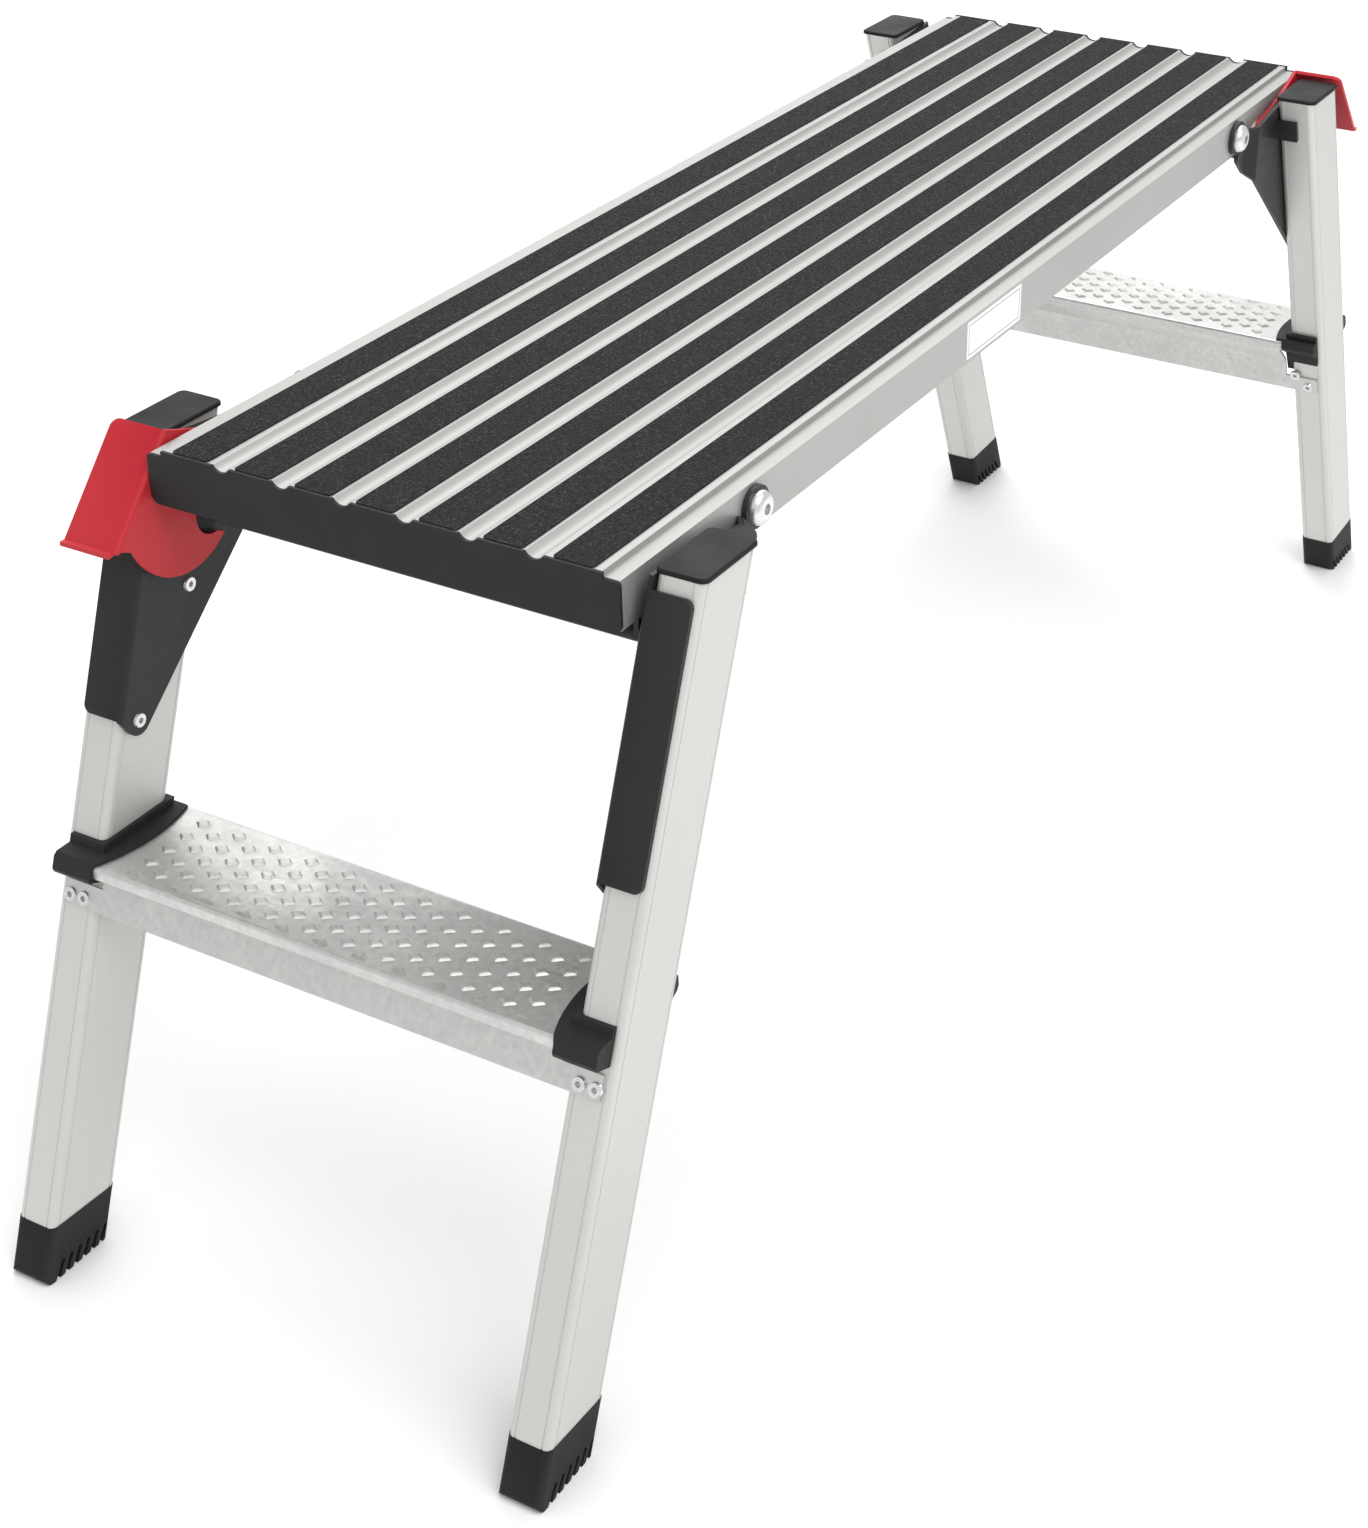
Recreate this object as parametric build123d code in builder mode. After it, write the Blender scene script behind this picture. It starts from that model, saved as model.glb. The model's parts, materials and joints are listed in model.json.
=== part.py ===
"""Work platform bench: a ridged aluminium plank on two folding leg frames.

Millimetres, +Z up, origin on the floor under the middle of the plank.
X runs along the plank and Y across it.  End "a" is at -X and end "b" at +X.
End b is end a turned half a turn about Z, so every end-dependent shape is
drawn in that end's own axes:

    u  outboard from the middle of the plank (towards the nearer end)
    v  up from the floor
    w  across the plank, +Y at end a and -Y at end b

k is +1 for the leg on the +w side, which has the latch, and -1 for the other.
"""
from build123d import *
import math
import os

# plank
plank_length = 948.0
plank_width = 300.0
ridge_top = 473.0
ledge_drop = 3.0
rail_depth = 28.0
rail_width = 24.0
wall = 2.0
cap_thickness = 2.0
ridge_count = 7
ridge_pitch = 40.0
groove_width = 11.6
groove_depth = 3.2
ridge_zone_width = 279.6
skin = 2.2
rib_depth = 14.0
strip_width = 24.6
strip_thickness = 0.8
outer_strip_shift = 2.4

# leg frames
leg_tilt = 21.55
leg_depth = 49.0
leg_width = 27.0
leg_wall = 1.6
leg_inner_face = 160.0
leg_top_u = 454.5
leg_top_v = 469.5
foot_top = 35.0
foot_top_slope = 0.057
corner_radius = 4.2
groove_inset = 4.9
bead_groove_radius = 0.5

# hinge between plank and leg frame
pivot_u = 344.5
pivot_v = 456.2
bolt_radius = 5.0
running_gap = 0.05
sheet = 3.0
plate_inner = 157.0
lobe_inner = 150.4
lobe_radius = 12.2

# latch
latch_pivot_u = 387.0
latch_pivot_v = 448.5
latch_sheet = 2.5
latch_inner = 152.0
latch_pin_radius = 3.2

# cross rod under the plank
cross_u = 429.0
cross_v = 415.5
cross_radius = 4.75
bush_radius = 11.0
hook_gap = 0.4

# step
step_top = 248.5
step_sheet = 1.5
tread_half_length = 155.3
flange_half_length = 181.0

# rivets
rivet_radius = 2.4
rivet_head_radius = 4.5
rivet_head_height = 1.4
mandrel_radius = 1.7

rail_bottom = ridge_top - ledge_drop - rail_depth
ledge_top = ridge_top - ledge_drop
leg_outer_face = leg_inner_face + leg_width
leg_middle = leg_inner_face + leg_width / 2
extrusion_half = plank_length / 2 - cap_thickness
tilt_cos = math.cos(math.radians(leg_tilt))
tilt_sin = math.sin(math.radians(leg_tilt))
end_signs = {"a": -1, "b": 1}

bracket_rivets = [(449.3, 377.9), (502.2, 316.2)]
outboard_rivets = [(167.5, 266.3), (177.5, 266.3)]
inboard_rivets = [(163.0, 255.5), (173.5, 266.5)]


def end_plane(end, w):
    """Plane at w whose axes are u and v, facing +w."""
    s = end_signs[end]
    return Plane(origin=(0, -s * w, 0), x_dir=(s, 0, 0), z_dir=(0, -s, 0))


def leg_plane(end, w):
    """Plane at w on the leg: x inboard from its outboard face, y down its length, facing +w."""
    s = end_signs[end]
    return Plane(
        origin=(s * leg_top_u, -s * w, leg_top_v),
        x_dir=(-s * tilt_cos, 0, -tilt_sin),
        z_dir=(0, -s, 0),
    )


def leg_section(end, w, along):
    """Plane square to the leg, centred on its tube, facing down the leg."""
    base = leg_plane(end, w)
    centre = base.from_local_coords((leg_depth / 2, along, 0))
    return Plane(origin=centre, x_dir=base.x_dir, z_dir=base.y_dir)


def leg_face(end, k, across):
    """Plane on a broad-side face of the leg: x is |w|, y is down the leg."""
    s = end_signs[end]
    base = leg_plane(end, 0)
    origin = base.from_local_coords((across, 0, 0))
    outboard = (k * s * tilt_cos, 0, k * tilt_sin)
    return Plane(origin=origin, x_dir=(0, -s * k, 0), z_dir=outboard)


def leg_point(across, along):
    """(u, v) of a point given in the leg's own directions."""
    u = leg_top_u - tilt_cos * across + tilt_sin * along
    v = leg_top_v - tilt_sin * across - tilt_cos * along
    return (u, v)


def plan_point(end, k, u, w):
    """(x, y) of a point given by u and |w|."""
    s = end_signs[end]
    return (s * u, -s * k * w)


def foot_line(end):
    """Plane where the leg's tube ends and its foot begins, a little lower inboard, facing up."""
    s = end_signs[end]
    edge_u = leg_point(0, (leg_top_v - foot_top) / tilt_cos)[0]
    return Plane(origin=(s * edge_u, 0, foot_top), x_dir=(0, 1, 0), z_dir=(-s * foot_top_slope, 0, 1))


def side_name(end, k):
    return "left" if end_signs[end] * k < 0 else "right"


def save(part, name):
    part.label = name
    export_step(part, f"parts/{name}.step")


def ridge_centres():
    return [(i - (ridge_count - 1) / 2) * ridge_pitch for i in range(ridge_count)]


def groove_centres():
    return [(i - (ridge_count - 2) / 2) * ridge_pitch for i in range(ridge_count - 1)]


def cut_grooves(top):
    """Grooves of circular section between the ridges, cut into the current sketch from its top line."""
    radius = (groove_width ** 2 / 4 + groove_depth ** 2) / (2 * groove_depth)
    with Locations(*[(y, top - groove_depth + radius) for y in groove_centres()]):
        Circle(radius, mode=Mode.SUBTRACT)


# ---------------------------------------------------------------- plank

def make_plank():
    rail_middle = plank_width / 2 - rail_width / 2
    pocket_width = ridge_pitch - groove_width - 2 * skin
    pocket_height = groove_depth
    skin_bottom = ridge_top - groove_depth - skin
    with BuildPart() as plank:
        with BuildSketch(Plane.YZ.offset(-extrusion_half)):
            with Locations((0, (ridge_top + skin_bottom) / 2)):
                Rectangle(ridge_zone_width, ridge_top - skin_bottom)
            cut_grooves(ridge_top)
            with Locations(*[(y, skin_bottom + pocket_height / 2) for y in ridge_centres()[1:-1]]):
                Rectangle(pocket_width, pocket_height, mode=Mode.SUBTRACT)
            with Locations(*[(side * rail_middle, rail_bottom + rail_depth / 2) for side in (-1, 1)]):
                Rectangle(rail_width, rail_depth)
                Rectangle(rail_width - 2 * wall, rail_depth - 2 * wall, mode=Mode.SUBTRACT)
            with Locations(*[(y, skin_bottom - rib_depth / 2) for y in groove_centres()]):
                Rectangle(wall, rib_depth)
            with Locations(*[(y, skin_bottom - rib_depth) for y in groove_centres()]):
                RectangleRounded(8, wall, 0.9)
        extrude(amount=2 * extrusion_half)
        for end in end_signs:
            for k in (-1, 1):
                with BuildSketch(end_plane(end, k * (plank_width / 2 + 1))):
                    with Locations((pivot_u, pivot_v)):
                        Circle(bolt_radius)
                extrude(amount=-k * (wall + 2), mode=Mode.SUBTRACT)
            with BuildSketch(end_plane(end, plank_width / 2 + 1)):
                with Locations((latch_pivot_u, latch_pivot_v)):
                    Circle(latch_pin_radius)
            extrude(amount=-wall - 2, mode=Mode.SUBTRACT)
    save(plank.part, "plank")


def make_grip_strips():
    for number, centre in enumerate(ridge_centres(), start=1):
        shift = 0.0
        if number == 1:
            shift = -outer_strip_shift
        if number == ridge_count:
            shift = outer_strip_shift
        with BuildPart() as strip:
            with BuildSketch(Plane.XY.offset(ridge_top)):
                with Locations((0, centre + shift)):
                    RectangleRounded(2 * extrusion_half, strip_width, 2.5)
            extrude(amount=strip_thickness)
        save(strip.part, f"grip_strip_{number}")


def make_end_cap(end):
    """Moulded cap on the plank's end, a little proud of it, with plugs up the two rails."""
    s = end_signs[end]
    top_proud = 0.3
    side_proud = 1.0
    bottom_proud = 1.3
    low_corner_radius = 5.0
    high_corner_radius = 2.5
    plug_length = 16.0
    plug_gap = 0.1
    bottom = rail_bottom - bottom_proud
    ledge_height = ledge_top + top_proud - bottom
    full_height = ridge_top + top_proud - bottom
    rail_middle = plank_width / 2 - rail_width / 2
    face = Plane(origin=(s * extrusion_half, 0, 0), x_dir=(0, 1, 0), z_dir=(1, 0, 0))
    with BuildPart() as cap:
        with BuildSketch(face) as outline:
            with Locations((0, bottom + ledge_height / 2)):
                Rectangle(plank_width + 2 * side_proud, ledge_height)
            fillet(outline.vertices().group_by(Axis.Y)[0], low_corner_radius)
            fillet(outline.vertices().group_by(Axis.Y)[-1], high_corner_radius)
            with Locations((0, bottom + full_height / 2)):
                Rectangle(ridge_zone_width + 2, full_height)
            cut_grooves(ridge_top + top_proud)
        extrude(amount=s * cap_thickness)
        with BuildSketch(face):
            with Locations(*[(side * rail_middle, rail_bottom + rail_depth / 2) for side in (-1, 1)]):
                Rectangle(rail_width - 2 * wall - 2 * plug_gap, rail_depth - 2 * wall - 2 * plug_gap)
                Rectangle(rail_width - 4 * wall, rail_depth - 4 * wall, mode=Mode.SUBTRACT)
        extrude(amount=-s * plug_length)
    save(cap.part, f"end_cap_{end}")


def make_rail_label():
    """Blank adhesive label on the -Y side rail."""
    length = 75.0
    height = 24.0
    middle = -53.5
    thickness = 0.2
    rail_face = Plane(origin=(middle, -plank_width / 2, 456), x_dir=(1, 0, 0), z_dir=(0, -1, 0))
    with BuildPart() as label:
        with BuildSketch(rail_face):
            RectangleRounded(length, height, 1.5)
        extrude(amount=thickness)
    save(label.part, "rail_label")


# ---------------------------------------------------------------- pivot hardware

def make_pivot_bolt(end, k):
    """Button-head bolt through the bracket's eye and the rail wall."""
    head_radius = 9.8
    head_height = 5.6
    head_start = lobe_inner + sheet + 0.1
    tip = plank_width / 2 - wall - 10.0
    socket_width = 6.0
    with BuildPart() as bolt:
        with BuildSketch(end_plane(end, k * head_start)):
            with Locations((pivot_u, pivot_v)):
                Circle(head_radius)
        extrude(amount=k * head_height)
        rim = bolt.edges().group_by(Axis.Y)
        top_rim = rim[-1] if end_signs[end] * k < 0 else rim[0]
        fillet(top_rim, 4.6)
        with BuildSketch(end_plane(end, k * (head_start + head_height))):
            with Locations((pivot_u, pivot_v)):
                RegularPolygon(socket_width / 2, 6, major_radius=False)
        extrude(amount=-k * 3.2, mode=Mode.SUBTRACT)
        with BuildSketch(end_plane(end, k * head_start)):
            with Locations((pivot_u, pivot_v)):
                Circle(bolt_radius)
        extrude(amount=-k * (head_start - tip))
    save(bolt.part, f"pivot_bolt_{end}_{side_name(end, k)}")


def make_pivot_washers():
    """Black spacer washers between the side rail and the bracket eyes."""
    thickness = lobe_inner - plank_width / 2 - 0.1
    with BuildPart() as washers:
        for end in end_signs:
            for k in (-1, 1):
                with BuildSketch(end_plane(end, k * plank_width / 2)):
                    with Locations((pivot_u, pivot_v)):
                        Circle(lobe_radius - 1)
                        Circle(bolt_radius, mode=Mode.SUBTRACT)
                extrude(amount=k * thickness)
    save(washers.part, "pivot_washers")


def make_pivot_nuts():
    """Lock nuts on the pivot bolts, inside the hollow side rails."""
    height = 8.0
    across_flats = 17.0
    with BuildPart() as nuts:
        for end in end_signs:
            for k in (-1, 1):
                with BuildSketch(end_plane(end, k * (plank_width / 2 - wall))):
                    with Locations((pivot_u, pivot_v)):
                        RegularPolygon(across_flats / 2, 6, major_radius=False)
                        Circle(bolt_radius, mode=Mode.SUBTRACT)
                extrude(amount=-k * height)
    save(nuts.part, "pivot_nuts")


# ---------------------------------------------------------------- leg frames

def bead_groove_sites():
    """Centres, in a tube's section, of the fine grooves that run beside each of its corners."""
    x = leg_depth / 2
    y = leg_width / 2
    sites = []
    for i in (-1, 1):
        for j in (-1, 1):
            sites.append((i * x, j * (y - groove_inset)))
            sites.append((i * (x - groove_inset), j * y))
    return sites


def cut_leg_rivet_holes(end, k, reach):
    """Rivet holes through whatever stands within reach of the leg's riveted faces."""
    with BuildSketch(end_plane(end, k * (leg_inner_face - reach))) as holes:
        with Locations(*bracket_rivets):
            Circle(rivet_radius)
    extrude(holes.sketch, amount=k * 2 * reach, mode=Mode.SUBTRACT)
    for across, sites in ((0, outboard_rivets), (leg_depth, inboard_rivets)):
        with BuildSketch(leg_face(end, k, across).offset(-reach)) as holes:
            with Locations(*sites):
                Circle(rivet_radius)
        extrude(holes.sketch, amount=2 * reach, mode=Mode.SUBTRACT)


def make_leg_tube(end, k):
    reach = 30.0
    with BuildPart() as tube:
        with BuildSketch(leg_section(end, k * leg_middle, -reach)):
            RectangleRounded(leg_depth, leg_width, corner_radius)
            inner_radius = corner_radius - leg_wall
            RectangleRounded(leg_depth - 2 * leg_wall, leg_width - 2 * leg_wall, inner_radius, mode=Mode.SUBTRACT)
            with Locations(*bead_groove_sites()):
                Circle(bead_groove_radius, mode=Mode.SUBTRACT)
        extrude(amount=leg_top_v / tilt_cos + 2 * reach)
        split(bisect_by=Plane.XY.offset(leg_top_v), keep=Keep.BOTTOM)
        split(bisect_by=foot_line(end), keep=Keep.TOP)
        cut_leg_rivet_holes(end, k, 4.0)
    save(tube.part, f"leg_tube_{end}_{side_name(end, k)}")


def plug_section(end, k, along):
    gap = 0.1
    with BuildSketch(leg_section(end, k * leg_middle, along)) as plug:
        size = leg_wall + gap
        RectangleRounded(leg_depth - 2 * size, leg_width - 2 * size, corner_radius - leg_wall)
    return plug.sketch


def make_top_cap(end, k):
    """Thin plate on the leg's level-cut top, with a plug down the tube."""
    overhang_u = 0.2
    overhang_w = 1.8
    thickness = 2.5
    long_side = leg_depth / tilt_cos
    centre_u = leg_top_u - long_side / 2
    with BuildPart() as cap:
        extrude(plug_section(end, k, -24.0), amount=44)
        split(bisect_by=Plane.XY.offset(leg_top_v + 1), keep=Keep.BOTTOM)
        with BuildSketch(Plane.XY.offset(leg_top_v)):
            with Locations(plan_point(end, k, centre_u, leg_middle)):
                RectangleRounded(long_side + 2 * overhang_u, leg_width + 2 * overhang_w, corner_radius + 0.6)
        extrude(amount=thickness)
        fillet(cap.faces().sort_by(Axis.Z)[-1].edges(), 1.4)
    save(cap.part, f"leg_cap_{end}_{side_name(end, k)}")


def make_foot(end, k):
    """Rubber foot that carries the tube's section down to the floor, with leaning slots along its sides."""
    rim = 0.5
    toe_radius = 5.0
    slot_count = 6
    slot_pitch = 6.6
    slot_shift = 2.0
    slot_width = 3.0
    slot_height = 12.5
    slot_depth = 2.2
    slot_lean = 11.0
    floor_along = leg_top_v / tilt_cos
    with BuildPart() as foot:
        with BuildSketch(leg_section(end, k * leg_middle, floor_along - 80)):
            RectangleRounded(leg_depth + 2 * rim, leg_width + 2 * rim, corner_radius + rim)
        extrude(amount=120)
        split(bisect_by=foot_line(end), keep=Keep.BOTTOM)
        with BuildSketch(end_plane(end, k * (leg_inner_face - 5))) as side:
            outboard_along = floor_along + rim * tilt_sin / tilt_cos
            inboard_along = floor_along - (leg_depth + rim) * tilt_sin / tilt_cos
            with BuildLine():
                Polyline(
                    leg_point(-rim, floor_along - 80),
                    leg_point(-rim, outboard_along),
                    leg_point(leg_depth + rim, inboard_along),
                    leg_point(leg_depth + rim, floor_along - 80),
                    close=True,
                )
            make_face()
            fillet(side.vertices().sort_by(Axis.Y)[:2], toe_radius)
        extrude(amount=k * (leg_width + 10), mode=Mode.INTERSECT)
        for w in (leg_inner_face - rim, leg_outer_face + rim - slot_depth):
            with BuildSketch(leg_plane(end, k * w)):
                for i in range(slot_count):
                    across = leg_depth / 2 + slot_shift + (i - (slot_count - 1) / 2) * slot_pitch
                    floor_here = floor_along - across * tilt_sin / tilt_cos
                    with Locations((across, floor_here)):
                        SlotOverall(2 * slot_height, slot_width, rotation=90 + slot_lean)
            extrude(amount=k * slot_depth, mode=Mode.SUBTRACT)
        extrude(plug_section(end, k, floor_along - 60), amount=28)
    save(foot.part, f"foot_{end}_{side_name(end, k)}")


def make_hinge_bracket(end, k):
    """Bent sheet bracket: eye on the plank's side, plate on the leg's inner face, flange round it.

    A lug on the plate reaches in under the side rail and stops the leg at its open angle.
    """
    flange_top = 8.5
    flange_bottom = 160.5
    flange_reach = 184.5
    tip_radius = 9.3
    low_corner = (351.0, 440.0)
    low_corner_radius = 5.0
    eye_top = (360.0, 457.0)
    shoulder = (398.0, 463.0)
    plate_top = 469.3
    top_along = (leg_top_v + sheet * tilt_sin - plate_top) / tilt_cos
    tab_top = -2.0
    tab_height = 16.5
    joggle_start = 361.0
    joggle_end = 370.0
    far = 540.0
    near = 320.0
    step_out = plate_inner - lobe_inner
    stop_u = 386.0
    stop_length = 26.0 if k > 0 else 68.0
    stop_bottom = 430.0
    stop_top = rail_bottom - 0.1
    stop_lug = [
        (plate_inner + 0.5, stop_bottom),
        (145, stop_bottom),
        (145, stop_top),
        (145 + sheet, stop_top),
        (145 + sheet, stop_bottom + sheet),
        (plate_inner + 0.5, stop_bottom + sheet),
    ]
    sheet_plan = [
        (near, lobe_inner),
        (joggle_start, lobe_inner),
        (joggle_end, plate_inner),
        (far, plate_inner),
        (far, plate_inner + sheet),
        (joggle_end - 1, plate_inner + sheet),
        (joggle_start - 1, lobe_inner + sheet),
        (near, lobe_inner + sheet),
    ]
    with BuildPart() as bracket:
        with BuildSketch(end_plane(end, k * lobe_inner)):
            with Locations(bracket_rivets[1]):
                Circle(tip_radius)
            with Locations(low_corner):
                Circle(low_corner_radius)
            with BuildLine():
                Polyline(
                    eye_top,
                    shoulder,
                    leg_point(-sheet, top_along),
                    leg_point(-sheet, flange_bottom + 0.5),
                )
            make_hull()
            with Locations((pivot_u, pivot_v)):
                Circle(lobe_radius)
        extrude(amount=k * (step_out + sheet))
        with BuildSketch(Plane.XY.offset(250)):
            with BuildLine():
                Polyline(*[plan_point(end, k, u, w) for u, w in sheet_plan], close=True)
            make_face()
        extrude(amount=250, mode=Mode.INTERSECT)
        with BuildSketch(leg_face(end, k, 0)) as flange:
            with Locations(((plate_inner + flange_reach) / 2, (flange_top + flange_bottom) / 2)):
                Rectangle(flange_reach - plate_inner, flange_bottom - flange_top)
            fillet(flange.vertices().group_by(Axis.X)[-1], 5.0)
        extrude(amount=k * sheet)
        with BuildSketch(leg_face(end, k, leg_depth)):
            with Locations((plate_inner + 9, tab_top + tab_height / 2)):
                Rectangle(18, tab_height)
        extrude(amount=-k * sheet)
        side = end_signs[end] * k
        stop_start = Plane(origin=(end_signs[end] * stop_u, 0, 0), x_dir=(0, -side, 0), z_dir=(-side, 0, 0))
        with BuildSketch(stop_start):
            with BuildLine():
                Polyline(*stop_lug, close=True)
            make_face()
        extrude(amount=-k * stop_length)
        bend_middle = leg_plane(end, k * plate_inner).from_local_coords((-sheet, 85, 0))
        fillet(bracket.edges().sort_by_distance(bend_middle)[0], sheet - 0.4)
        with BuildSketch(end_plane(end, k * lobe_inner)):
            with Locations((pivot_u, pivot_v)):
                Circle(bolt_radius + running_gap)
        extrude(amount=k * sheet, mode=Mode.SUBTRACT)
        with BuildSketch(end_plane(end, k * plate_inner)):
            with Locations(*bracket_rivets):
                Circle(rivet_radius)
        extrude(amount=k * sheet, mode=Mode.SUBTRACT)
    save(bracket.part, f"hinge_bracket_{end}_{side_name(end, k)}")


def make_cross_rod(end):
    """Rod between the two brackets, under the plank, that the latch hooks under."""
    tip = latch_inner - hook_gap
    with BuildPart() as rod:
        with BuildSketch(end_plane(end, -plate_inner)):
            with Locations((cross_u, cross_v)):
                Circle(cross_radius)
        extrude(amount=plate_inner + tip)
    save(rod.part, f"cross_rod_{end}")


def make_lock_bush(end):
    """Short bush on the latch-side bracket, in line with the cross rod, inside the latch's notch."""
    start = latch_inner + latch_sheet + hook_gap
    with BuildPart() as bush:
        with BuildSketch(end_plane(end, start)):
            with Locations((cross_u, cross_v)):
                Circle(bush_radius)
        extrude(amount=plate_inner - start)
        fillet(bush.edges().sort_by_distance(end_plane(end, start).origin)[0], 0.6)
    save(bush.part, f"lock_bush_{end}")


def step_profile():
    """Outer line of the step's sheet in u and v, from the outboard flange's foot to the inboard one's."""
    return [
        leg_point(-step_sheet, 272),
        leg_point(-step_sheet, 251),
        (556.2, 241.0),
        (555.4, step_top),
        (479.6, step_top),
        (479.0, 241.5),
        leg_point(leg_depth + step_sheet, 241),
        leg_point(leg_depth + step_sheet, 272),
    ]


def make_step(end):
    flange_depth = 272 - 257.5
    with BuildPart() as step:
        with BuildSketch(end_plane(end, -tread_half_length)):
            with BuildLine():
                FilletPolyline(*step_profile(), radius=2.2)
                offset(amount=step_sheet, side=Side.LEFT)
            make_face()
        extrude(amount=2 * tread_half_length)
        for k in (-1, 1):
            tail_middle = (tread_half_length + flange_half_length) / 2 - 1
            tail_length = flange_half_length - tread_half_length + 2
            for across, outward in ((0, k), (leg_depth, -k)):
                with BuildSketch(leg_face(end, k, across)):
                    with Locations((tail_middle, 272 - flange_depth / 2)):
                        Rectangle(tail_length, flange_depth)
                extrude(amount=outward * step_sheet)
            for across, sites in ((0, outboard_rivets), (leg_depth, inboard_rivets)):
                with BuildSketch(leg_face(end, k, across).offset(-3)):
                    with Locations(*sites):
                        Circle(rivet_radius)
                extrude(amount=6, mode=Mode.SUBTRACT)
    save(step.part, f"step_{end}")


def make_step_bracket(end, k):
    """Moulded block that wraps the leg at the step's end: a ledge round the leg and a rim up against it."""
    inner = 145.5
    outer = 182.5
    block_inner = 155.7
    nose_front_u = 558.0
    nose_middle_u = 515.0
    nose_back = (472.0, 154.0)
    front_u = 564.0
    ledge_level = step_top + 2.0
    rim_level = step_top + 6.5
    rim_thickness = 2.6
    rim_outer = leg_outer_face - 4.5
    underside = 180.0
    nose_bottom = 241.0
    gap = 0.15
    rim_inner = leg_inner_face - rim_thickness
    with BuildPart() as block:
        with BuildSketch(end_plane(end, k * inner)):
            with BuildLine():
                Polyline(
                    leg_point(-12.4, 252.6),
                    leg_point(-14.0, 250.6),
                    leg_point(-14.0, 243.0),
                    leg_point(-11.8, 239.4),
                    leg_point(-2.0, 235.0),
                    leg_point(0, 200.0),
                    leg_point(leg_depth, 180.0),
                    leg_point(leg_depth + 2, 210.5),
                    leg_point(leg_depth + 7.5, 214.8),
                    leg_point(leg_depth + 9.8, 220.0),
                    leg_point(leg_depth + 9.3, 223.0),
                    leg_point(leg_depth + 4.0, 229.0),
                    leg_point(leg_depth, 234.0),
                    leg_point(leg_depth - 2, 252.6),
                    close=True,
                )
            make_face()
        extrude(amount=k * (outer - inner))
        with BuildSketch(Plane.XY.offset(underside)):
            with BuildLine():
                front = plan_point(end, k, nose_front_u, block_inner)
                middle = plan_point(end, k, nose_middle_u, inner)
                back = plan_point(end, k, *nose_back)
                outer_back = plan_point(end, k, nose_back[0], outer)
                outer_front = plan_point(end, k, front_u, outer)
                inner_front = plan_point(end, k, front_u, block_inner)
                ThreePointArc(front, middle, back)
                Polyline(back, outer_back, outer_front, inner_front, front)
            make_face()
        extrude(amount=ledge_level - underside, mode=Mode.INTERSECT)
        with BuildSketch(Plane.XY.offset(underside)):
            with Locations(plan_point(end, k, front_u, (inner + block_inner) / 2 - 1)):
                Rectangle(front_u - nose_middle_u, block_inner - inner + 2)
        extrude(amount=nose_bottom - underside, mode=Mode.SUBTRACT)
        with BuildSketch(leg_section(end, k * (rim_inner + rim_outer) / 2, 190)):
            Rectangle(leg_depth + 2 * rim_thickness, rim_outer - rim_inner)
        extrude(amount=50)
        split(bisect_by=Plane.XY.offset(rim_level), keep=Keep.BOTTOM)
        with BuildSketch(leg_section(end, k * leg_middle, 150)):
            RectangleRounded(leg_depth, leg_width, corner_radius)
        extrude(amount=200, mode=Mode.SUBTRACT)
        with BuildSketch(end_plane(end, k * inner)):
            with BuildLine():
                FilletPolyline(*step_profile(), radius=2.2, close=True)
            make_face()
            offset(amount=gap)
        extrude(amount=k * (tread_half_length - inner + gap), mode=Mode.SUBTRACT)
    save(block.part, f"step_bracket_{end}_{side_name(end, k)}")


def rivet(plane, point, inward):
    """One blind rivet: head on the plane, shank inward, mandrel hole in the head."""
    grip = 5.4
    with BuildSketch(plane) as shank:
        with Locations(point):
            Circle(rivet_radius)
    extrude(shank.sketch, amount=inward * grip)
    with BuildSketch(plane) as head:
        with Locations(point):
            Circle(rivet_head_radius)
    extrude(head.sketch, amount=-inward * rivet_head_height, taper=18)
    with BuildSketch(plane.offset(-inward * rivet_head_height)) as mandrel:
        with Locations(point):
            Circle(mandrel_radius)
    extrude(mandrel.sketch, amount=inward * 3.0, mode=Mode.SUBTRACT)


def make_rivets(end):
    with BuildPart() as rivets:
        for k in (-1, 1):
            for point in bracket_rivets:
                rivet(end_plane(end, k * plate_inner), point, k)
    save(rivets.part, f"bracket_rivets_{end}")
    with BuildPart() as rivets:
        for k in (-1, 1):
            for point in outboard_rivets:
                rivet(leg_face(end, k, -step_sheet), point, -k)
            for point in inboard_rivets:
                rivet(leg_face(end, k, leg_depth + step_sheet), point, k)
    save(rivets.part, f"step_rivets_{end}")


# ---------------------------------------------------------------- latch

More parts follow.
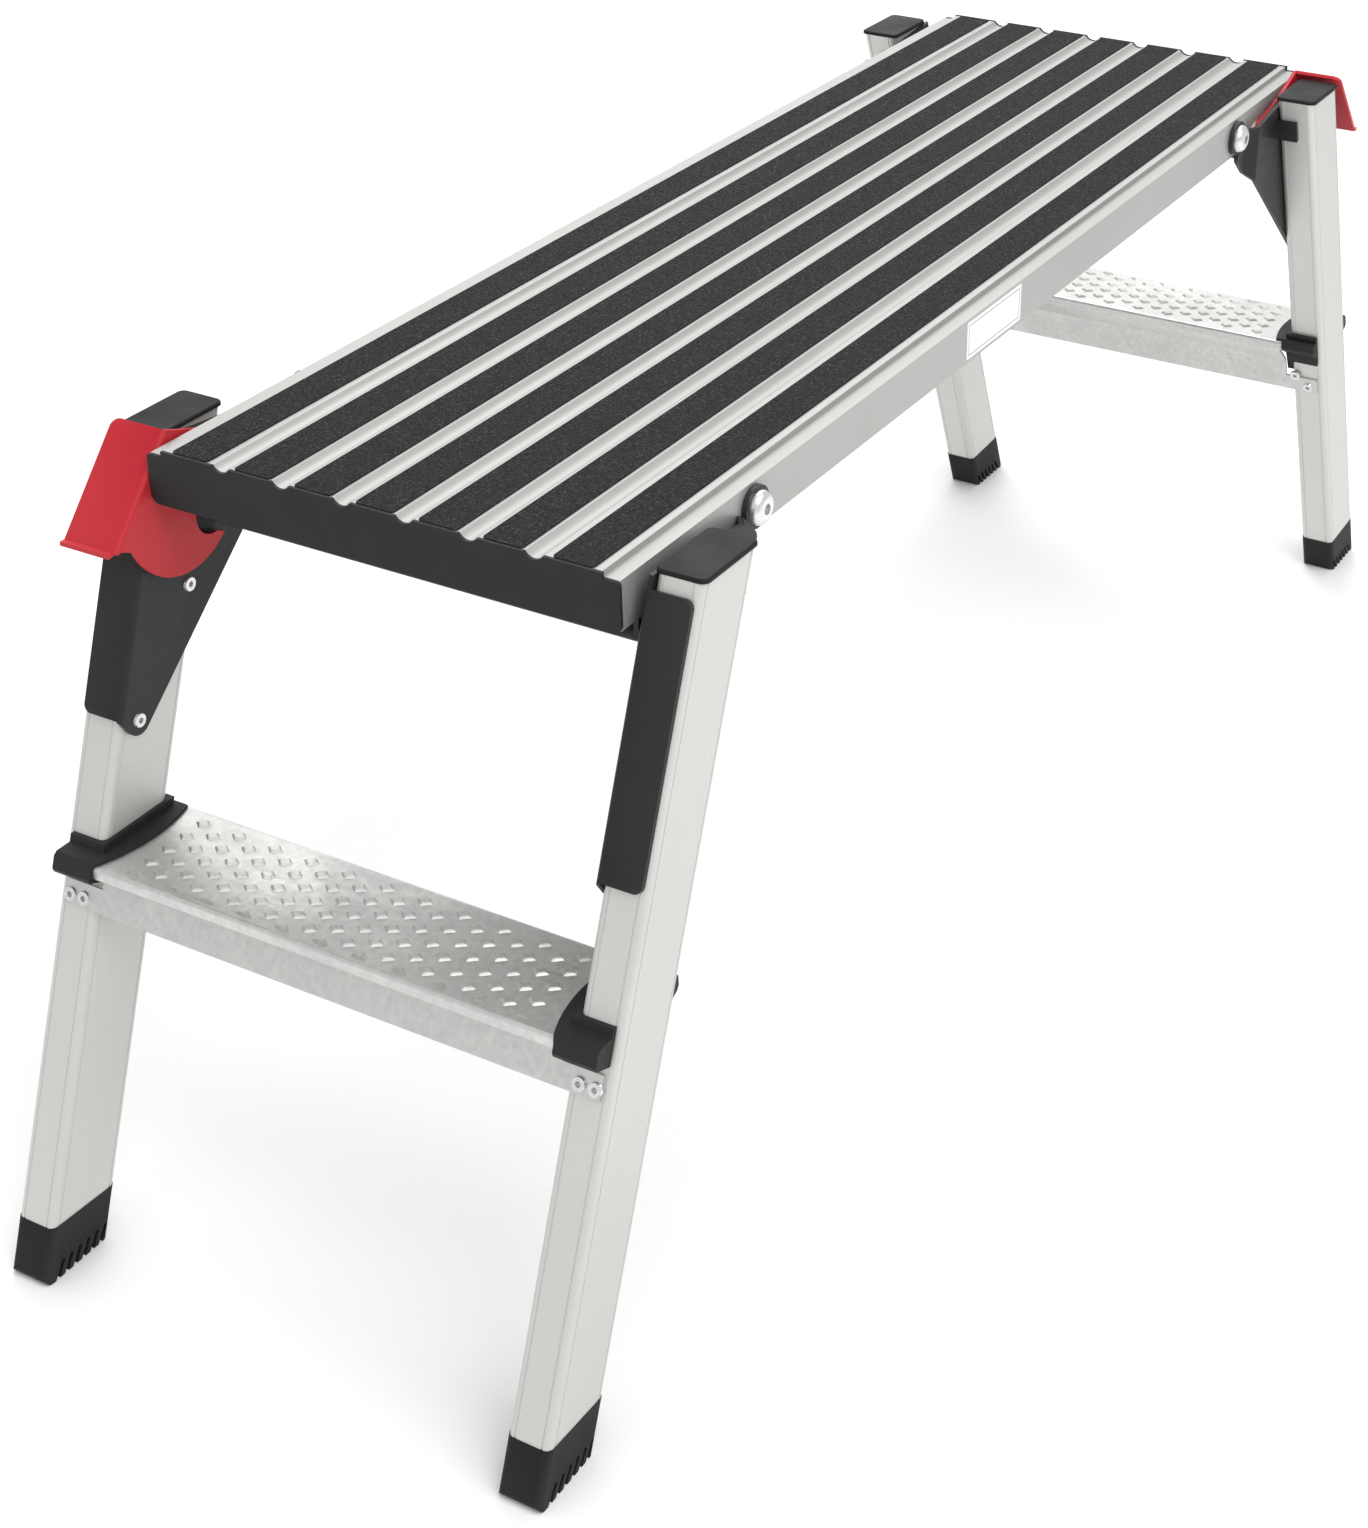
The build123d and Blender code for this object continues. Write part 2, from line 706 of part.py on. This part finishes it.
def make_latch(end):
    """Red bent-sheet latch: side plate with its hook, and the handle in front of the leg."""
    bend_top = (456.5, 476.5)
    bend_low = (505.5, 423.0)
    lip_length = 3.6
    handle_reach = 189.0
    slope = math.atan2(bend_top[1] - bend_low[1], bend_low[0] - bend_top[0])
    handle_length = math.dist(bend_top, bend_low)
    s = end_signs[end]
    down = (s * math.cos(slope), 0, -math.sin(slope))
    facing = (s * math.sin(slope), 0, math.cos(slope))
    with BuildPart() as latch:
        with BuildSketch(end_plane(end, latch_inner)):
            with BuildLine():
                Line(bend_low, bend_top)
                ThreePointArc(bend_top, (434.0, 468.4), (384.5, 457.7))
                ThreePointArc((384.5, 457.7), (377.5, 448.5), (385.0, 439.2))
                Line((385.0, 439.2), (417.5, 438.0))
                ThreePointArc((417.5, 438.0), (422.5, 435.5), (424.5, 430.0))
                Line((424.5, 430.0), (425.0, 427.9))
                ThreePointArc((425.0, 427.9), (442.0, 415.5), (427.0, 402.8))
                Line((427.0, 402.8), (421.0, 400.0))
                ThreePointArc((421.0, 400.0), (449.0, 388.3), (492.0, 417.0))
                ThreePointArc((492.0, 417.0), (498.4, 421.0), bend_low)
            make_face()
            with Locations((latch_pivot_u, latch_pivot_v)):
                Circle(latch_pin_radius + running_gap, mode=Mode.SUBTRACT)
        extrude(amount=latch_sheet)
        top = end_plane(end, latch_inner).from_local_coords((bend_top[0], bend_top[1], 0))
        handle_plane = Plane(origin=top, x_dir=(0, -s, 0), z_dir=facing)
        down_sign = 1 if handle_plane.y_dir.dot(Vector(*down)) > 0 else -1
        width = handle_reach - latch_inner
        with BuildSketch(handle_plane) as handle:
            with Locations((width / 2, down_sign * handle_length / 2)):
                Rectangle(width, handle_length)
            top_corner = handle.vertices().group_by(Axis.X)[-1].sort_by(Axis.Y)
            fillet(top_corner[0 if down_sign > 0 else -1], 6.0)
        extrude(amount=-latch_sheet)
        lip_turn = slope - math.radians(50)
        lip_end = (bend_low[0] + lip_length * math.cos(lip_turn), bend_low[1] - lip_length * math.sin(lip_turn))
        lip_back = (lip_end[0] - latch_sheet * math.sin(lip_turn), lip_end[1] - latch_sheet * math.cos(lip_turn))
        sheet_back = (bend_low[0] - latch_sheet * math.sin(slope), bend_low[1] - latch_sheet * math.cos(slope))
        with BuildSketch(end_plane(end, latch_inner + latch_sheet)):
            with BuildLine():
                Polyline(bend_low, lip_end, lip_back, sheet_back, close=True)
            make_face()
        extrude(amount=width - latch_sheet)
        bend_middle = top + Vector(*down) * (handle_length / 2)
        fillet(latch.edges().sort_by_distance(bend_middle)[0], latch_sheet - 0.3)
    save(latch.part, f"latch_{end}")


def make_latch_pin(end):
    """Shoulder rivet that the latch turns on, fixed in the side rail's wall."""
    rail_face = plank_width / 2
    with BuildPart() as pin:
        for start, stop, radius in (
            (rail_face - wall - 1.5, rail_face - wall, 4.3),
            (rail_face - wall, rail_face, latch_pin_radius),
            (rail_face, latch_inner - 0.1, 8.0),
            (latch_inner - 0.1, latch_inner + latch_sheet + 0.1, latch_pin_radius),
            (latch_inner + latch_sheet + 0.1, latch_inner + latch_sheet + 1.6, 7.0),
        ):
            with BuildSketch(end_plane(end, start)):
                with Locations((latch_pivot_u, latch_pivot_v)):
                    Circle(radius)
            extrude(amount=stop - start)
    save(pin.part, f"latch_pin_{end}")


os.makedirs("parts", exist_ok=True)
make_plank()
make_grip_strips()
make_pivot_washers()
make_pivot_nuts()
make_rail_label()
for end in end_signs:
    make_end_cap(end)
    make_cross_rod(end)
    make_lock_bush(end)
    make_step(end)
    make_rivets(end)
    make_latch(end)
    make_latch_pin(end)
    for k in (-1, 1):
        make_pivot_bolt(end, k)
        make_leg_tube(end, k)
        make_top_cap(end, k)
        make_foot(end, k)
        make_hinge_bracket(end, k)
        make_step_bracket(end, k)
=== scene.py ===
"""Looks for the folding work platform bench: procedural finishes, pressed tread studs, light and camera.

Metres, +Z up, X along the plank.  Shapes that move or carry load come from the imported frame.
"""
import json
import math

import bmesh
import bpy
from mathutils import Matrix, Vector


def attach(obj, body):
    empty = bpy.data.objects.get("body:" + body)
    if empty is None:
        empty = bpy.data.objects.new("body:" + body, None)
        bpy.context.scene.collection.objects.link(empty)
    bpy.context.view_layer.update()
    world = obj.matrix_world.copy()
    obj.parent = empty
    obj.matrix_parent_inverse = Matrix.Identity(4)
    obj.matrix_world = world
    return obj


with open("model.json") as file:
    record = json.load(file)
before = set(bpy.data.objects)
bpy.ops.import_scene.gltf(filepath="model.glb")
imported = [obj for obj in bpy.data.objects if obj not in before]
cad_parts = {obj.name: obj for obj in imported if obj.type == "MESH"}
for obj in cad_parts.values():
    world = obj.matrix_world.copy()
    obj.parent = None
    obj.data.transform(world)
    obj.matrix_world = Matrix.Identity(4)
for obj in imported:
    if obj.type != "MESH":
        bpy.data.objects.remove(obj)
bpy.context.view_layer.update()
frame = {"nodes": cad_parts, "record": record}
nodes = frame["nodes"]


# ---------------------------------------------------------------- node helpers

class Graph:
    """A material's node tree, with short calls to add nodes and join them."""

    def __init__(self, name):
        self.material = bpy.data.materials.new(name)
        self.material.use_nodes = True
        self.tree = self.material.node_tree
        self.shader = self.tree.nodes["Principled BSDF"]
        self.object = self.add("ShaderNodeTexCoord").outputs["Object"]

    def add(self, kind, **settings):
        node = self.tree.nodes.new(kind)
        for key, value in settings.items():
            setattr(node, key, value)
        return node

    def link(self, source, target):
        self.tree.links.new(source, target)

    def stretched(self, scale):
        mapping = self.add("ShaderNodeMapping")
        mapping.inputs["Scale"].default_value = scale
        self.link(self.object, mapping.inputs["Vector"])
        return mapping.outputs["Vector"]

    def noise(self, scale, detail=4.0, roughness=0.55, vector=None):
        node = self.add("ShaderNodeTexNoise")
        node.inputs["Scale"].default_value = scale
        node.inputs["Detail"].default_value = detail
        node.inputs["Roughness"].default_value = roughness
        self.link(vector or self.object, node.inputs["Vector"])
        return node.outputs["Fac"]

    def cells(self, scale, output="Color"):
        node = self.add("ShaderNodeTexVoronoi", feature="F1")
        node.inputs["Scale"].default_value = scale
        self.link(self.object, node.inputs["Vector"])
        return node.outputs[output]

    def spread(self, value, low, high, start=0.0, end=1.0):
        """The value's start to end turned into low to high."""
        node = self.add("ShaderNodeMapRange")
        node.inputs["From Min"].default_value = start
        node.inputs["From Max"].default_value = end
        node.inputs["To Min"].default_value = low
        node.inputs["To Max"].default_value = high
        self.link(value, node.inputs["Value"])
        return node.outputs["Result"]

    def tint(self, value, first, second, start=0.0, end=1.0):
        """Colour that runs from first to second while the value goes from start to end."""
        ramp = self.add("ShaderNodeValToRGB")
        ramp.color_ramp.elements[0].position = start
        ramp.color_ramp.elements[0].color = (*first, 1)
        ramp.color_ramp.elements[1].position = end
        ramp.color_ramp.elements[1].color = (*second, 1)
        self.link(value, ramp.inputs["Fac"])
        return ramp.outputs["Color"]

    def blend(self, factor, first, second):
        """Colour first where the factor is 0, second where it is 1."""
        node = self.add("ShaderNodeMix", data_type="RGBA", blend_type="MIX")
        colour_a, colour_b = (socket for socket in node.inputs if socket.type == "RGBA")
        for socket, value in ((colour_a, first), (colour_b, second)):
            if isinstance(value, tuple):
                socket.default_value = (*value, 1)
            else:
                self.link(value, socket)
        if isinstance(factor, float):
            node.inputs[0].default_value = factor
        else:
            self.link(factor, node.inputs[0])
        return next(socket for socket in node.outputs if socket.type == "RGBA")

    def sum(self, first, second, operation="ADD"):
        """Two values added, or joined by another operation of the Math node."""
        node = self.add("ShaderNodeMath", operation=operation)
        for socket, value in ((node.inputs[0], first), (node.inputs[1], second)):
            if isinstance(value, float):
                socket.default_value = value
            else:
                self.link(value, socket)
        return node.outputs[0]

    def edges(self, low, high, start=0.5, end=0.62):
        """Where the surface is sharply convex; used as the mask for painted highlights along edges."""
        geometry = self.add("ShaderNodeNewGeometry")
        return self.spread(geometry.outputs["Pointiness"], low, high, start, end)

    def bump(self, height, distance, strength):
        node = self.add("ShaderNodeBump")
        node.inputs["Distance"].default_value = distance
        node.inputs["Strength"].default_value = strength
        self.link(height, node.inputs["Height"])
        return node.outputs["Normal"]

    def finish(self, colour, roughness, normal=None, **fixed):
        self.link(colour, self.shader.inputs["Base Color"])
        self.link(roughness, self.shader.inputs["Roughness"])
        if normal is not None:
            self.link(normal, self.shader.inputs["Normal"])
        for key, value in fixed.items():
            self.shader.inputs[key.replace("_", " ")].default_value = value
        return self.material


# ---------------------------------------------------------------- finishes

def anodised(name, along, light, dark):
    """Satin extruded aluminium with faint die lines that run along one axis."""
    lines_per_metre = 900.0
    waves_per_metre = 1.2
    g = Graph(name)
    scale = [lines_per_metre] * 3
    scale["XYZ".index(along)] = waves_per_metre
    lines = g.noise(1.0, 3.0, 0.6, g.stretched(scale))
    cloud = g.noise(7.0, 3.0)
    grain = g.noise(2600.0, 2.0)
    middling = tuple((first + second) / 2 for first, second in zip(light, dark))
    base = g.tint(lines, middling, light, 0.3, 0.7)
    base = g.blend(g.spread(cloud, 0.0, 0.5, 0.35, 0.75), base, dark)
    rough = g.sum(g.spread(lines, 0.46, 0.56, 0.3, 0.7), g.spread(grain, -0.03, 0.03))
    height = g.sum(lines, g.spread(grain, 0.0, 0.5))
    return g.finish(base, rough, g.bump(height, 0.00003, 0.3), Metallic=0.55, Specular_IOR_Level=0.4)


def grip_grit():
    """Black abrasive tape: mineral grains in resin, a few of them with a painted glint in their base
    colour.
    """
    g = Graph("grip_grit")
    grains = g.cells(1500.0, "Distance")
    coarse = g.noise(420.0, 4.0, 0.7)
    painted_glint_cells = g.cells(1150.0, "Color")
    separate = g.add("ShaderNodeSeparateColor")
    g.link(painted_glint_cells, separate.inputs["Color"])
    base = g.tint(coarse, (0.006, 0.006, 0.0065), (0.022, 0.022, 0.023), 0.3, 0.75)
    # Painted glint: a few grain cells get a lighter base colour.
    base = g.blend(g.spread(separate.outputs[0], 0.0, 0.6, 0.93, 0.97), base, (0.09, 0.09, 0.10))
    rough = g.spread(separate.outputs[1], 0.6, 0.95)
    height = g.sum(g.spread(grains, 1.0, 0.0, 0.0, 0.7), coarse)
    return g.finish(base, rough, g.bump(height, 0.0005, 0.8), Specular_IOR_Level=0.2)


def moulding(name, rough_low, rough_high, shade):
    """Black moulded plastic with a spark-eroded grain and a painted highlight on its sharp edges."""
    g = Graph(name)
    grain = g.noise(1900.0, 3.0, 0.6)
    patches = g.noise(40.0, 3.0)
    base = g.tint(patches, (shade,) * 3, (shade * 1.4, shade * 1.4, shade * 1.45), 0.3, 0.75)
    # Painted highlight: sharp convex edges get a base colour three times lighter.
    base = g.blend(g.edges(0.0, 0.6, 0.52, 0.6), base, (shade * 3.0,) * 3)
    rough = g.sum(g.spread(patches, rough_low, rough_high, 0.3, 0.7), g.spread(grain, -0.05, 0.05))
    return g.finish(base, rough, g.bump(grain, 0.00012, 0.5), Specular_IOR_Level=0.17)


def powder_coat(name, colour, dark, edge_highlight):
    """Satin powder coat: slight orange peel, with a painted highlight on the edges."""
    g = Graph(name)
    peel = g.noise(520.0, 2.0, 0.4)
    patches = g.noise(26.0, 3.0)
    base = g.tint(patches, colour, dark, 0.35, 0.8)
    # Painted highlight: sharp convex edges are blended towards the lighter third tone.
    base = g.blend(g.edges(0.0, 0.6, 0.53, 0.62), base, edge_highlight)
    rough = g.spread(patches, 0.36, 0.46, 0.3, 0.7)
    return g.finish(base, rough, g.bump(peel, 0.0001, 0.4), Specular_IOR_Level=0.2)


def galvanised():
    """Zinc-dipped sheet: fine mottling, dull streaks and a painted highlight on sharp crests."""
    g = Graph("galvanised")
    cloud = g.noise(26.0, 4.0, 0.6)
    mottle = g.noise(230.0, 3.0, 0.6)
    spangle = g.cells(330.0, "Color")
    separate = g.add("ShaderNodeSeparateColor")
    g.link(spangle, separate.inputs["Color"])
    streak = g.noise(1.0, 4.0, 0.6, g.stretched((420.0, 16.0, 420.0)))
    base = g.tint(mottle, (0.46, 0.475, 0.46), (0.62, 0.63, 0.60), 0.3, 0.7)
    base = g.blend(g.spread(separate.outputs[0], 0.0, 0.22), base, (0.74, 0.75, 0.73))
    base = g.blend(g.spread(cloud, 0.0, 0.55, 0.42, 0.75), base, (0.46, 0.475, 0.465))
    # Painted highlight: sharp convex crests and stud edges are blended towards a lighter grey.
    base = g.blend(g.edges(0.0, 0.25, 0.52, 0.62), base, (0.74, 0.74, 0.73))
    rough = g.sum(g.spread(cloud, 0.30, 0.46, 0.35, 0.7), g.spread(streak, -0.06, 0.08, 0.3, 0.7))
    height = g.sum(streak, g.spread(mottle, 0.0, 0.6))
    return g.finish(base, rough, g.bump(height, 0.00007, 0.5), Metallic=0.8)


def zinc_plate():
    """Bright zinc-plated fasteners with turning marks."""
    g = Graph("zinc_plate")
    fine = g.noise(700.0, 3.0)
    base = g.tint(fine, (0.66, 0.67, 0.68), (0.82, 0.82, 0.81), 0.3, 0.7)
    rough = g.spread(fine, 0.22, 0.38, 0.3, 0.7)
    return g.finish(base, rough, g.bump(fine, 0.00005, 0.4), Metallic=0.9)


def sticker(box):
    """Blank white vinyl with a slight ripple and a thin grey line round its border."""
    line_outside = 0.0021
    line_inside = 0.0029
    g = Graph("sticker_vinyl")
    ripple = g.noise(60.0, 3.0)
    place = g.add("ShaderNodeSeparateXYZ")
    g.link(g.object, place.inputs[0])
    inset = []
    for axis in (0, 2):
        middle = (box[0][axis] + box[1][axis]) / 2
        half = (box[1][axis] - box[0][axis]) / 2
        offset = g.sum(place.outputs[axis], -middle)
        inset.append(g.sum(g.sum(offset, 0.0, "ABSOLUTE"), -half))
    from_edge = g.sum(inset[0], inset[1], "MAXIMUM")
    past_inside = g.sum(from_edge, -line_inside, "GREATER_THAN")
    before_outside = g.sum(from_edge, -line_outside, "LESS_THAN")
    line = g.sum(past_inside, before_outside, "MULTIPLY")
    base = g.tint(ripple, (0.76, 0.76, 0.76), (0.84, 0.84, 0.84), 0.3, 0.7)
    base = g.blend(line, base, (0.34, 0.35, 0.36))
    rough = g.spread(ripple, 0.26, 0.38, 0.3, 0.7)
    return g.finish(base, rough, g.bump(ripple, 0.0002, 0.2))


def world_box(node):
    """Lowest and highest corner of a node's box."""
    corners = [node.matrix_world @ vertex.co for vertex in node.data.vertices]
    low = [min(c[i] for c in corners) for i in range(3)]
    high = [max(c[i] for c in corners) for i in range(3)]
    return low, high


plank_tones = ((0.46, 0.465, 0.45), (0.39, 0.395, 0.38))
leg_tones = ((0.64, 0.65, 0.62), (0.57, 0.58, 0.56))
# The third tone of each powder-coat set is the painted highlight along sharp edges.
black_tones = ((0.012, 0.012, 0.0125), (0.017, 0.017, 0.018), (0.04, 0.04, 0.04))
red_tones = ((0.47, 0.006, 0.021), (0.41, 0.005, 0.018), (0.55, 0.045, 0.05))
finishes = {
    "mill_aluminium": anodised("anodised_plank", "X", *plank_tones),
    "leg_aluminium": anodised("anodised_leg", "Z", *leg_tones),
    "step_aluminium": galvanised(),
    "grip_tape": grip_grit(),
    "black_moulding": moulding("black_moulding", 0.45, 0.6, 0.010),
    "foot_rubber": moulding("foot_rubber", 0.6, 0.78, 0.012),
    "black_steel": powder_coat("black_powder_coat", *black_tones),
    "zinc_fastener": zinc_plate(),
    "red_latch": powder_coat("red_powder_coat", *red_tones),
    "label_vinyl": sticker(world_box(nodes["rail_label"])),
}
for row in frame["record"]["subparts"]:
    node = nodes[row["node"]]
    node.data.materials.clear()
    node.data.materials.append(finishes[row["material_slot"]])


# ---------------------------------------------------------------- pressed studs on the treads

STUD_PITCH_ACROSS = 0.0073
STUD_PITCH_ALONG = 0.02605
STUD_ROWS = 9
STUD_HALF_ACROSS = 0.0050
STUD_HALF_ALONG = 0.0061
STUD_HEIGHT = 0.0012
STUD_SINK = 0.0003
STUD_TOP_SHARE = 0.6
PATTERN_HALF_LENGTH = 0.134
FIRST_ROW_INSET = 0.0046
CUT_INSET = 0.0042
CUT_SLOPE = 0.001
FLAT_TOLERANCE = 0.0002
STUD_ROUNDING = 0.0003


def tread_edge(node, level):
    """How far from the middle of the bench the tread's flat top reaches."""
    points = [node.matrix_world @ vertex.co for vertex in node.data.vertices]
    return max(abs(point.x) for point in points if point.z > level - FLAT_TOLERANCE)


def stud_centres(first_row):
    """Staggered rows, from the outboard one inboard, each stud as (across, along)."""
    count = int(PATTERN_HALF_LENGTH / STUD_PITCH_ALONG) + 1
    for row in range(STUD_ROWS):
        shift = STUD_PITCH_ALONG / 2 * (row % 2)
        for step in range(-count, count + 1):
            along = step * STUD_PITCH_ALONG + shift
            if abs(along) <= PATTERN_HALF_LENGTH:
                yield first_row - row * STUD_PITCH_ACROSS, along


def add_stud(mesh, sign, across, along, level, limit):
    """One low pyramid with a flat top, cut off straight at the limit across the tread."""
    rings = []
    for share, height in ((1.0, -STUD_SINK), (STUD_TOP_SHARE, STUD_HEIGHT)):
        ring = []
        for out, way in ((1, 0), (0, 1), (-1, 0), (0, -1)):
            x = min(across + out * share * STUD_HALF_ACROSS, limit - (1 - share) * CUT_SLOPE)
            y = along + way * share * STUD_HALF_ALONG
            ring.append(mesh.verts.new((sign * x, y, level + height)))
        rings.append(ring)
    low, high = rings
    mesh.faces.new(high)
    for i in range(4):
        j = (i + 1) % 4
        mesh.faces.new((low[i], low[j], high[j], high[i]))


def make_studs(end, sign):
    """All of one tread's studs as one piece that rides with its leg frame."""
    step = nodes[f"step_{end}"]
    level = world_box(step)[1][2]
    edge = tread_edge(step, level)
    mesh = bmesh.new()
    for across, along in stud_centres(edge - FIRST_ROW_INSET):
        add_stud(mesh, sign, across, along, level, edge - CUT_INSET)
    bmesh.ops.recalc_face_normals(mesh, faces=mesh.faces)
    bmesh.ops.bevel(mesh, geom=list(mesh.edges), offset=STUD_ROUNDING, segments=2, affect="EDGES")
    data = bpy.data.meshes.new(f"tread_studs_{end}")
    mesh.to_mesh(data)
    mesh.free()
    piece = bpy.data.objects.new(f"tread_studs_{end}", data)
    bpy.context.scene.collection.objects.link(piece)
    data.materials.append(finishes["step_aluminium"])
    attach(piece, f"frame_{end}")


for end, sign in (("a", -1), ("b", 1)):
    make_studs(end, sign)


# ---------------------------------------------------------------- floor, light, camera

FLOOR_SIZE = 40.0
WORLD_STRENGTH = 0.76
SENSOR = 36.0
FOCAL_SHARE = 1.7033
EYE = (-1.4046, -0.7816, 1.0669)
HEADING = 60.578
LOOK_DOWN = 30.734
SHIFT_X = -0.0814
SHIFT_Y = -0.0381
AIM = (0, 0, 0.3)


def make_floor():
    bpy.ops.mesh.primitive_plane_add(size=FLOOR_SIZE, location=(0, 0, 0))
    floor = bpy.context.object
    floor.name = "studio_floor"
    g = Graph("studio_floor")
    speck = g.noise(3.0, 2.0)
    g.finish(g.tint(speck, (0.96, 0.96, 0.96), (0.97, 0.97, 0.97)), g.spread(speck, 0.8, 0.9))
    floor.data.materials.append(g.material)


def make_light(name, place, size, watts):
    """White area light aimed at the middle of the bench."""
    data = bpy.data.lights.new(name, "AREA")
    data.shape = "RECTANGLE"
    data.size, data.size_y = size
    data.energy = watts
    lamp = bpy.data.objects.new(name, data)
    lamp.location = place
    lamp.rotation_euler = (Vector(AIM) - Vector(place)).to_track_quat("-Z", "Y").to_euler()
    bpy.context.scene.collection.objects.link(lamp)


def make_camera():
    """The photograph's viewpoint: above the near end's latch side, looking down the plank."""
    data = bpy.data.cameras.new("camera")
    camera = bpy.data.objects.new("camera", data)
    bpy.context.scene.collection.objects.link(camera)
    bpy.context.scene.camera = camera
    data.sensor_width = SENSOR
    data.lens = FOCAL_SHARE * SENSOR
    data.shift_x = SHIFT_X
    data.shift_y = SHIFT_Y
    data.clip_start, data.clip_end = 0.05, 60.0
    camera.location = EYE
    camera.rotation_euler = (math.radians(90 - LOOK_DOWN), 0, -math.radians(HEADING))


def make_world():
    world = bpy.data.worlds.new("studio")
    bpy.context.scene.world = world
    world.use_nodes = True
    background = world.node_tree.nodes["Background"]
    background.inputs["Color"].default_value = (1, 1, 1, 1)
    background.inputs["Strength"].default_value = WORLD_STRENGTH


make_floor()
make_camera()
make_world()
make_light("key_over_left", (-0.6, -1.6, 2.6), (2.2, 1.6), 41)
make_light("fill_near_end", (-3.0, 0.6, 1.5), (1.6, 1.6), 3)
make_light("top_far", (1.2, 0.9, 2.8), (2.0, 2.0), 34)
make_light("sheen_far_end", (2.8, 1.6, 1.9), (2.4, 1.4), 13)
bpy.context.scene.view_settings.view_transform = "Standard"
